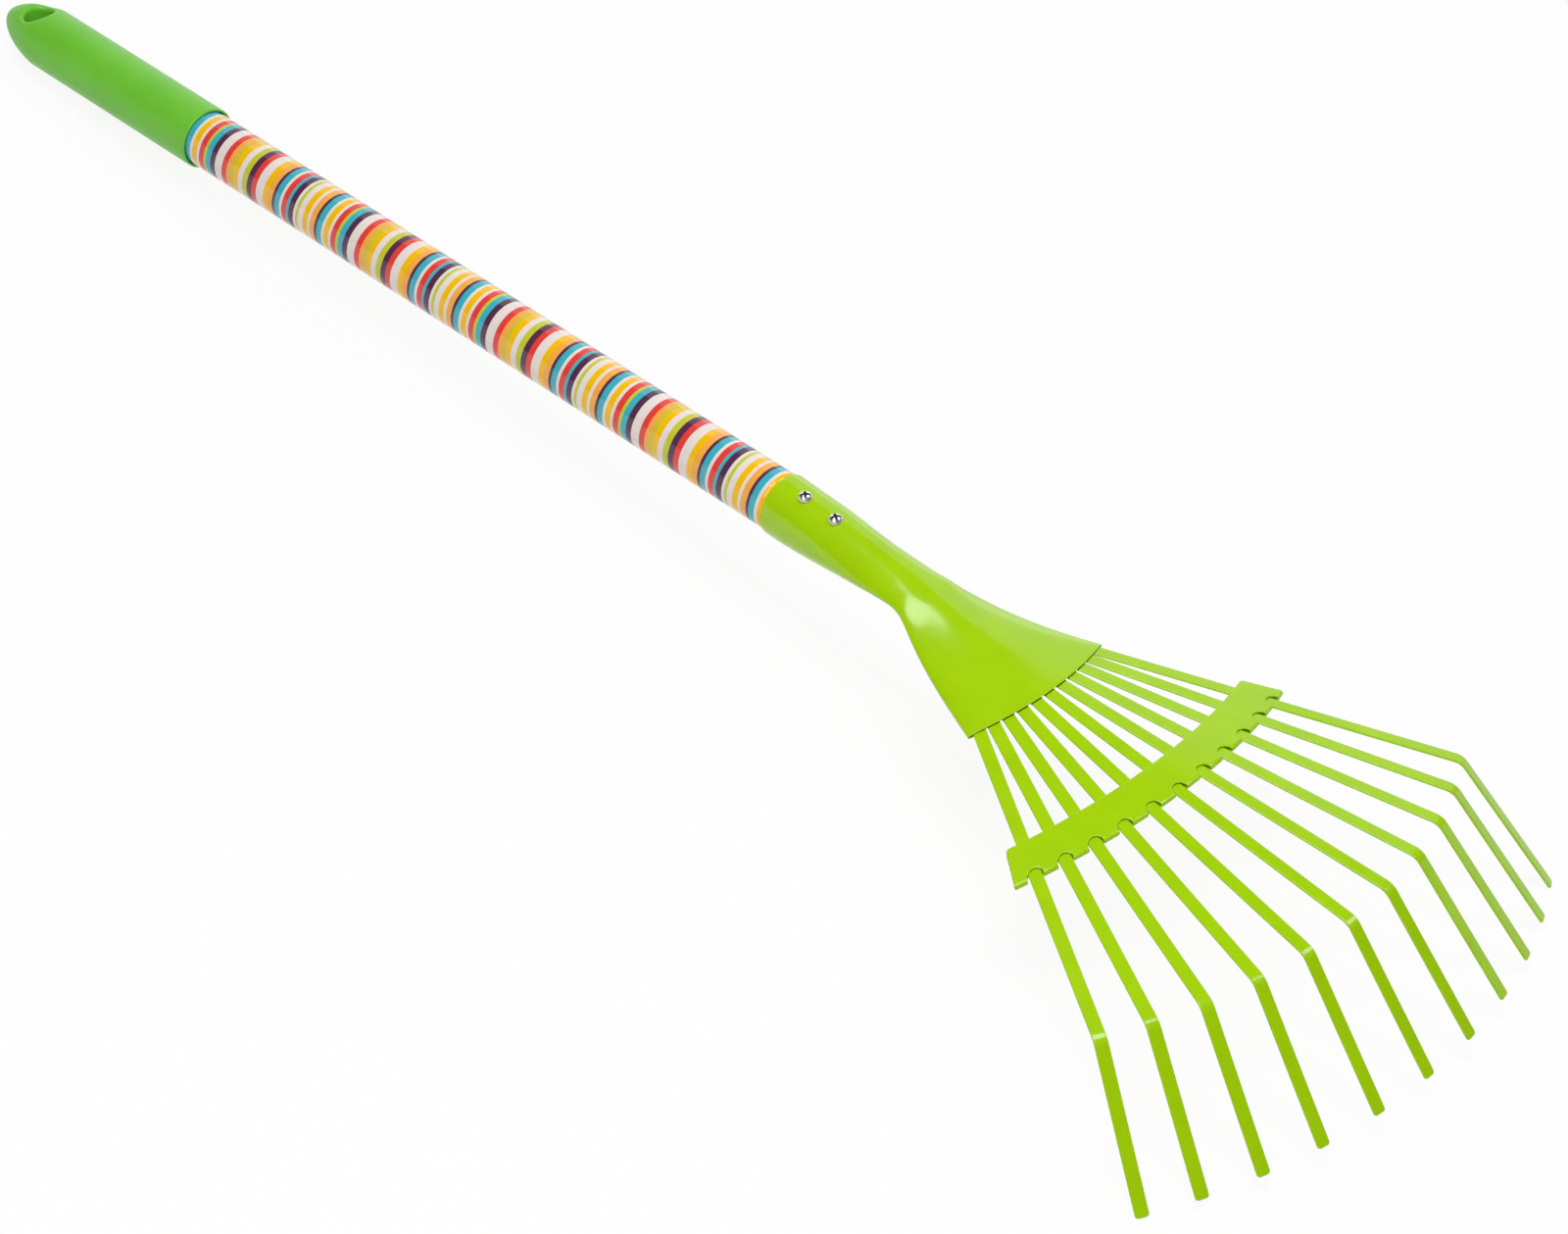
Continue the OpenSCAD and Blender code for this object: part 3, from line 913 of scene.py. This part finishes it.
def tine_stations(angle):
    """Places along a tine: on its line, square to it, the turn there and how far down the leg."""
    tail = spread(MOUTH_AT_MIDDLE, MOUTH_AT_EDGE, angle) - TINE_TAIL
    lit_from = lip_at(0, angle) - SHADE_INSIDE_LIP
    # The tail and the next station hold the painted shade; the coat shows lit from the third
    line = [tail, lit_from - SHADE_FADE] + steps(lit_from, BEND_FROM, LINE_STEPS)
    stations = [(s, 0, 0, 0) for s in line]
    for turn in steps(0, BEND_ANGLE, BEND_STEPS)[1:]:
        s, c = turned(turn)
        stations.append((BEND_FROM + BEND_R * s, BEND_R * (c - 1), turn, 0))
    foot_s, foot_h = stations[-1][:2]
    down = steps(0, LEG - TIP_CORNER, LEG_STEPS)[1:]
    down += [LEG - TIP_CORNER * (1 - turned(t)[0]) for t in steps(CORNER_FROM, 90, CORNER_STEPS)]
    for d in down:
        stations.append((foot_s + d * BEND_C, foot_h - d * BEND_S, BEND_ANGLE, d))
    return stations


def tine_shape(k):
    """A tine of flat strip with rounded edges, bent down towards its rounded end."""
    angle = fan_angle(k)
    rings = []
    for at, (s, h, turn, d) in enumerate(tine_stations(angle)):
        turn_s, turn_c = turned(turn)
        past = clamp((d - LEG + TIP_CORNER) / TIP_CORNER)
        half_w = TINE_W / 2 - TIP_CORNER * (1 - math.sqrt(1 - past * past))
        late = clamp((d - LEG + END_ROUND) / END_ROUND)
        thin = END_ROUND * (1 - math.sqrt(1 - late * late))
        edge = max(TINE_EDGE - thin, TINE_EDGE_END)
        ring = []
        for v, n in strip_section(half_w - thin / 2, TINE_T / 2 - thin, edge):
            skew = lip_at(v, angle) - lip_at(0, angle) if at in LIP_RINGS else 0
            ring.append(fan_point(s + skew + n * turn_s, v, h + n * turn_c, angle))
        rings.append(ring)
    return loft(rings)


def add_tine(number, finish):
    """A tine, with painted shade on its tail in the socket's mouth."""
    name = f"tine_{number:02d}"
    shape = tine_shape(number - 1 - MIDDLE)
    tine = add_piece(name + "_strip", shape, finish, name, flats=True)
    around = 4 * (SECTION_STEPS + 1)
    # The tail's first rings get painted shade, the rest keep the lime coat's colour
    shades = [PAINTED_MOUTH_SHADE if corner.vertex_index < SHADED_RINGS * around else WHITE for corner in tine.data.loops]
    tint(tine, "paint", shades)


# The spreader bar

BAR_GAP = TINE_T / 2 + BAR_PLAY
BAR_NOSE = BAR_GAP + BAR_T
BAR_MIDDLE = fan_point(BAR_AT_MIDDLE + BAR_DEPTH / 2, 0, 0, 0)
BAR_EDGE = fan_point(BAR_AT_EDGE + BAR_DEPTH / 2, 0, 0, EDGE_ANGLE)
BAR_SAG = math.hypot(BAR_MIDDLE.x - BAR_EDGE.x, BAR_MIDDLE.z - BAR_EDGE.z)
BAR_R = (BAR_EDGE.y ** 2 + BAR_SAG ** 2) / (2 * BAR_SAG)
BAR_LIFT = math.degrees(math.atan2(BAR_MIDDLE.z - BAR_EDGE.z, BAR_MIDDLE.x - BAR_EDGE.x))
BAR_TURN = math.degrees(math.asin(BAR_EDGE.y / BAR_R))
# The leaves lie along the middle tine, eased by half of what they miss the outer ones by
LEVEL_TILT = FAN_LIFT - FAN_DROOP - BAR_LIFT
LEVEL_S, LEVEL_C = turned(LEVEL_TILT)
TURN_S, TURN_C = turned(BAR_TURN)
EDGE_UP = nose_up((-LEVEL_S * TURN_C, -LEVEL_S * TURN_S, LEVEL_C), BAR_LIFT)
LEAF_TILT = LEVEL_TILT + math.degrees(math.asin(EDGE_UP.dot(fan_dir(1, 0, 0, EDGE_ANGLE)))) / 2

# The sheet laid flat: across it from the fold's crest, and along the arc
SHEET_R = BAR_GAP + BAR_T / 2
FOLD_AHEAD = BAR_DEPTH / 2 - BAR_NOSE
FOLD_HALF = SHEET_R * math.pi / 2
SHEET_HALF = FOLD_HALF + BAR_DEPTH - BAR_NOSE
NOTCH_BACK = FOLD_HALF + SLOT_DEPTH - BAR_NOSE - SLOT_W / 2
# Width of the rounded edges, the radius of the sheet's corners and the steps round each
SHEET_EDGE = 0.35
SHEET_EDGE_STEPS = 6
BAR_CORNER = 1.3
BAR_CORNER_STEPS = 6
# Steps across a leaf, across half the fold and along the sheet's long edges
LEAF_STEPS = 6
FOLD_STEPS = 6
LONG_STEPS = 60
# Steps round each end of a tine's hole and along its sides
NOTCH_STEPS = 18
NOTCH_SIDE_STEPS = 8
# Spacing of the points inside the sheet, and how far they stay from its edges
GRID_STEP = 1.5
GRID_CLEAR = 0.5
# Angle between their rows on the fold, and steps between those on a leaf
GRID_FOLD_ANGLE = 15
GRID_LEAF_STEPS = 9
# A triangle's middle may pass the edges by this much, and points closer than this are one
EDGE_SLACK = 0.004
SAME_PLACE = 1e-5
# The triangulation keeps what lies inside the outline
KEEP_INSIDE = 1


def ahead(q):
    """How far ahead of the bar's middle a point across the sheet lies."""
    if abs(q) > FOLD_HALF:
        return FOLD_AHEAD - (abs(q) - FOLD_HALF)
    return FOLD_AHEAD + SHEET_R * math.cos(q / SHEET_R)


def on_sheet(along, q, lift):
    """A point of the folded sheet, by its place on the flat sheet and its height over the sheet's middle."""
    r = SHEET_R + lift
    if abs(q) > FOLD_HALF:
        d = ahead(q)
        h = math.copysign(r, q)
    else:
        d = FOLD_AHEAD + r * math.cos(q / SHEET_R)
        h = r * math.sin(q / SHEET_R)
    tilt_s, tilt_c = turned(LEAF_TILT)
    turn = along / BAR_R
    out = BAR_R + d * tilt_c - h * tilt_s
    local = (out * math.cos(turn) - BAR_R, out * math.sin(turn), d * tilt_s + h * tilt_c)
    return BAR_MIDDLE + nose_up(local, BAR_LIFT)


def along_bar(point):
    """Where a point near the bar lies along its arc, and how far ahead of the bar's middle."""
    local = nose_up(point - BAR_MIDDLE, -BAR_LIFT)
    return BAR_R * math.atan2(local.y, local.x + BAR_R), math.hypot(local.x + BAR_R, local.y) - BAR_R


def line_along(first, last):
    """A straight line over the bar, as a function of the distance ahead of the bar's middle."""
    a, d_a = along_bar(first)
    b, d_b = along_bar(last)
    slope = (b - a) / (d_b - d_a)
    return lambda d: a + slope * (d - d_a)


SPLAY_S, SPLAY_C = turned(BAR_SPLAY)
bar_end = line_along(
    fan_point(BAR_AT_EDGE, BAR_PAST, 0, EDGE_ANGLE),
    fan_point(BAR_AT_EDGE + BAR_DEPTH * SPLAY_C, BAR_PAST + BAR_DEPTH * SPLAY_S, 0, EDGE_ANGLE))
tine_lines = []
for k in range(-MIDDLE, MIDDLE + 1):
    bar_from = spread(BAR_AT_MIDDLE, BAR_AT_EDGE, fan_angle(k))
    tine_lines.append(line_along(fan_point(bar_from, 0, 0, fan_angle(k)),
                                 fan_point(bar_from + BAR_DEPTH, 0, 0, fan_angle(k))))


def end_along(q, inset):
    """The sheet's end at a place across it, with its corners rounded."""
    corner = BAR_CORNER - inset
    from_edge = SHEET_HALF - inset - abs(q)
    cut = corner - math.sqrt(max(corner ** 2 - (corner - min(from_edge, corner)) ** 2, 0))
    return bar_end(ahead(q)) - inset - cut


def outline_loop(inset):
    """The sheet's outline laid flat."""
    half = SHEET_HALF - inset
    corner = BAR_CORNER - inset
    bends = [half - corner * (1 - turned(t)[0]) for t in steps(90, 0, BAR_CORNER_STEPS)]
    leaf = steps(half - corner, FOLD_HALF, LEAF_STEPS)[1:-1]
    upper = bends + leaf + steps(FOLD_HALF, 0, FOLD_STEPS)
    down = upper + [-q for q in upper[-2::-1]]
    right = [(end_along(q, inset), q) for q in down]
    left = [(-end_along(q, inset), q) for q in down[::-1]]
    width = right[0][0]
    rear = [(x, half) for x in steps(-width, width, LONG_STEPS)[1:-1]]
    front = [(x, -half) for x in steps(width, -width, LONG_STEPS)[1:-1]]
    return right + front + left + rear


def notch_loop(line, inset):
    """The outline of the hole that a tine leaves through, laid flat."""
    r = SLOT_W / 2 + inset
    arc = [(r * turned(t)[1], NOTCH_BACK + r * turned(t)[0]) for t in steps(0, 180, NOTCH_STEPS)]
    side = [(-r, q) for q in steps(NOTCH_BACK, -NOTCH_BACK, NOTCH_SIDE_STEPS)[1:-1]]
    half = arc + side
    loop = half + [(-u, -q) for u, q in half]
    return [(line(ahead(q)) + u, q) for u, q in loop]


def on_metal(along, q, margin):
    """Whether a place on the flat sheet is clear of its outline and its holes by a margin."""
    if abs(q) > SHEET_HALF - SHEET_EDGE - margin or abs(along) > end_along(q, SHEET_EDGE) - margin:
        return False
    beyond = max(abs(q) - NOTCH_BACK, 0)
    clear = SLOT_W / 2 + SHEET_EDGE + margin
    return all(math.hypot(along - line(ahead(q)), beyond) > clear for line in tine_lines)


def grid_points():
    """Points inside the flat sheet, in rows along it."""
    rows = [SHEET_R * math.radians(t) for t in range(0, 91, GRID_FOLD_ANGLE)]
    rows += steps(FOLD_HALF, SHEET_HALF, GRID_LEAF_STEPS)[1:-1]
    wide = int(end_along(0, 0) / GRID_STEP) + 1
    grid = []
    for q in rows:
        # The row on the fold's crest is its own mirror
        for side in ((1, -1) if q else (1,)):
            for i in range(-wide, wide + 1):
                if on_metal(i * GRID_STEP, side * q, GRID_CLEAR):
                    grid.append((i * GRID_STEP, side * q))
    return grid


def flat_sheet(loops):
    """Points and triangles of the flat sheet, and its outline and holes as rings of point numbers."""
    flat = []
    fences = []
    rings = []
    for loop in loops:
        ring = list(range(len(flat), len(flat) + len(loop)))
        rings.append(ring)
        fences += zip(ring, ring[1:] + ring[:1])
        flat += loop
    flat += grid_points()
    places = [Vector(p) for p in flat]
    spots, _, triangles, origins, _, _ = delaunay_2d_cdt(places, fences, [], KEEP_INSIDE, SAME_PLACE)
    number = {}
    for i, origin in enumerate(origins):
        for o in origin:
            number[o] = i
    kept = []
    for triangle in triangles:
        centre = sum((spots[v] for v in triangle), Vector((0, 0))) / 3
        if on_metal(centre.x, centre.y, -EDGE_SLACK):
            kept.append(tuple(triangle))
    return spots, kept, [[number[v] for v in ring] for ring in rings]


def bar_shape():
    """The bar as one sheet, with its holes and rounded edges, folded over the tines."""
    makers = [outline_loop] + [lambda inset, line=line: notch_loop(line, inset) for line in tine_lines]
    spots, triangles, rings = flat_sheet([maker(SHEET_EDGE) for maker in makers])
    points = []
    faces = []
    for lift in (BAR_T / 2, -BAR_T / 2):
        start = len(points)
        points += [on_sheet(p.x, p.y, lift) for p in spots]
        faces += [tuple(start + v for v in triangle) for triangle in triangles]
    for maker, ring in zip(makers, rings):
        last = ring
        for t in steps(0, 180, SHEET_EDGE_STEPS)[1:-1]:
            s, c = turned(t)
            here = range(len(points), len(points) + len(ring))
            points += [on_sheet(x, q, BAR_T / 2 * c) for x, q in maker(SHEET_EDGE * (1 - s))]
            faces += bridge(last, here)
            last = here
        faces += bridge(last, [len(spots) + v for v in ring])
    return points, faces


# The rake
lime_coat = powder_coat("lime_powder_coat")
add_piece("grip_moulding", grip_shape(), moulded_plastic(), "grip")
add_film(printed_film())
add_piece("head_socket_sheet", socket_shape(), lime_coat, "head_socket")
add_screws(bright_steel())
add_piece("spreader_bar_sheet", bar_shape(), lime_coat, "spreader_bar", flats=True)
# The tines' coat is darkened by painted shade in the socket's mouth, through the attribute named paint
tine_coat = powder_coat("lime_tine_coat", shade_layer="paint")
for number in range(1, TINE_COUNT + 1):
    add_tine(number, tine_coat)
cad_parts["handle_rod"].data.materials.clear()
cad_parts["handle_rod"].data.materials.append(bare_wood())


# The floor, and a low wall far round it that closes the horizon, in metres

FLOOR_SIZE = 60
WALL_R = 25
WALL_H = 4
WALL_SIDES = 64
PAPER_WHITE = (0.9, 0.9, 0.9, 1)
# Share of the paper that shows as plain white, and the rest takes light and shadow
FLOOR_GLOW = 0.9


def floor_paper():
    """White paper that shows white to the camera and in reflections, and keeps the rake's shadow."""
    material = bpy.data.materials.new("white_paper")
    material.use_nodes = True
    nodes = material.node_tree.nodes
    links = material.node_tree.links
    nodes.clear()

    def maths(operation, one):
        """A node that works out one value from two, with the first one linked."""
        node = nodes.new("ShaderNodeMath")
        node.operation = operation
        links.new(one, node.inputs[0])
        return node

    diffuse = nodes.new("ShaderNodeBsdfDiffuse")
    diffuse.inputs["Color"].default_value = PAPER_WHITE
    glow = nodes.new("ShaderNodeEmission")
    path = nodes.new("ShaderNodeLightPath").outputs
    either = maths("MAXIMUM", path["Is Camera Ray"])
    links.new(path["Is Glossy Ray"], either.inputs[1])
    any_way = maths("MAXIMUM", either.outputs[0])
    links.new(path["Is Transmission Ray"], any_way.inputs[1])
    share = maths("MULTIPLY", any_way.outputs[0])
    share.inputs[1].default_value = FLOOR_GLOW
    both = nodes.new("ShaderNodeMixShader")
    links.new(share.outputs[0], both.inputs["Fac"])
    links.new(diffuse.outputs["BSDF"], both.inputs[1])
    links.new(glow.outputs["Emission"], both.inputs[2])
    out = nodes.new("ShaderNodeOutputMaterial")
    links.new(both.outputs["Shader"], out.inputs["Surface"])
    return material


def add_stage(name, points, faces, paper):
    """A staged surface, which isn't part of the rake."""
    mesh = bpy.data.meshes.new(name)
    mesh.from_pydata(points, [], faces)
    mesh.materials.append(paper)
    stage = bpy.data.objects.new(name, mesh)
    bpy.context.scene.collection.objects.link(stage)


def add_floor(paper):
    """A square floor under the rake."""
    half = FLOOR_SIZE / 2
    corners = [(-half, -half, 0), (half, -half, 0), (half, half, 0), (-half, half, 0)]
    add_stage("floor", corners, [(0, 1, 2, 3)], paper)


def add_backdrop(paper):
    """A low round wall."""
    points = []
    for angle in steps(0, 360, WALL_SIDES)[:-1]:
        s, c = turned(angle)
        points += [(WALL_R * c, WALL_R * s, 0), (WALL_R * c, WALL_R * s, WALL_H)]
    faces = []
    for i in range(0, len(points), 2):
        k = (i + 2) % len(points)
        faces.append((i, k, k + 1, i + 1))
    add_stage("backdrop", points, faces, paper)


stage_paper = floor_paper()
add_floor(stage_paper)
add_backdrop(stage_paper)


# Light

WORLD_LIGHT = 0.08


def softbox(name, place, aim, size, watts):
    """A rectangular area lamp at a place, turned to a point, both in metres."""
    lamp = bpy.data.lights.new(name, "AREA")
    lamp.shape = "RECTANGLE"
    lamp.size, lamp.size_y = size
    lamp.energy = watts
    holder = bpy.data.objects.new(name, lamp)
    holder.location = place
    holder.rotation_euler = (Vector(aim) - Vector(place)).to_track_quat("-Z", "Y").to_euler()
    holder.visible_camera = False
    bpy.context.scene.collection.objects.link(holder)


world = bpy.data.worlds.new("studio")
bpy.context.scene.world = world
world.use_nodes = True
world.node_tree.nodes["Background"].inputs["Color"].default_value = WHITE
world.node_tree.nodes["Background"].inputs["Strength"].default_value = WORLD_LIGHT
softbox("backdrop_light", place=(-1.29, 1.53, 1), aim=(0, 0, 1), size=(4, 2), watts=20)
softbox("key_softbox", place=(0.02, -0.15, 1.9), aim=(0, 0, 0), size=(0.86, 0.86), watts=17)
softbox("front_softbox", place=(0.75, 1.1, 1.55), aim=(0.2, 0, 0), size=(0.55, 0.55), watts=5.5)
softbox("fill_softbox", place=(0.4, -1.2, 1.5), aim=(0, 0, 0), size=(1.2, 1.2), watts=14.5)
softbox("bend_softbox", place=(0.56, 0.69, 1.6), aim=(0.3, 0, 0), size=(0.4, 0.4), watts=2.2)


# Camera at the photograph's viewing angle

# Place, aim and reach in metres, roll in degrees, lens and sensor in millimetres
CAMERA_AT = Vector((0.7739, -0.8700, 1.0837))
CAMERA_AIM = Vector((0.0708, -0.0005, 0))
CAMERA_ROLL = 7.62
CAMERA_LENS = 100.87
CAMERA_SENSOR = 36
CAMERA_REACH = 50
camera_data = bpy.data.cameras.new("camera")
camera_data.lens = CAMERA_LENS
camera_data.sensor_width = CAMERA_SENSOR
camera_data.sensor_fit = "HORIZONTAL"
camera_data.clip_end = CAMERA_REACH
camera = bpy.data.objects.new("camera", camera_data)
level = (CAMERA_AIM - CAMERA_AT).to_track_quat("-Z", "Y").to_matrix().to_4x4()
roll = Matrix.Rotation(math.radians(CAMERA_ROLL), 4, "Z")
camera.matrix_world = Matrix.Translation(CAMERA_AT) @ level @ roll
bpy.context.scene.collection.objects.link(camera)
bpy.context.scene.camera = camera
bpy.context.scene.view_settings.view_transform = "Standard"
